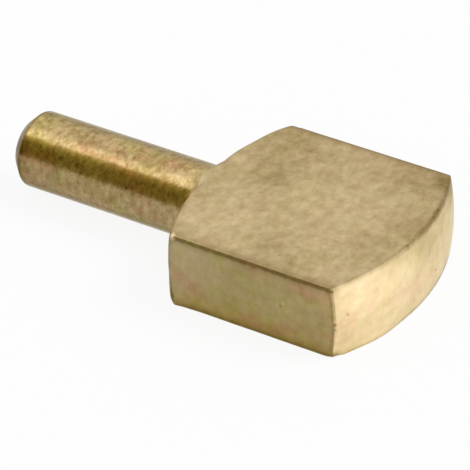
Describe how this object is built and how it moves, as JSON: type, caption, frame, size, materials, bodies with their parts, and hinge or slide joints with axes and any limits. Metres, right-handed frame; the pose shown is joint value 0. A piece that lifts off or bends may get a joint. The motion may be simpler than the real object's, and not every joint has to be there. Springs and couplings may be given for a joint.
{
  "type": "shelf support pin",
  "caption": "Solid brass shelf support pin: a round pin with a chamfered end for a drilled hole, and a thick flat head with domed ends that carries the shelf.",
  "frame": {"origin": "on the pin's axis, at the crown of the shoulder where the pin leaves the head", "axes": "+X along the pin's axis, from the pin to the nose of the head; +Z square to the head's flat faces, out of the face that carries the shelf"},
  "size_m": [0.0357, 0.0174, 0.0064],
  "materials": {
    "raw_brass": "unlacquered brass as machined, satin and lightly tarnished"
  },
  "bodies": {
    "root": {"shelf_pin": "raw_brass"}
  },
  "joints": []
}
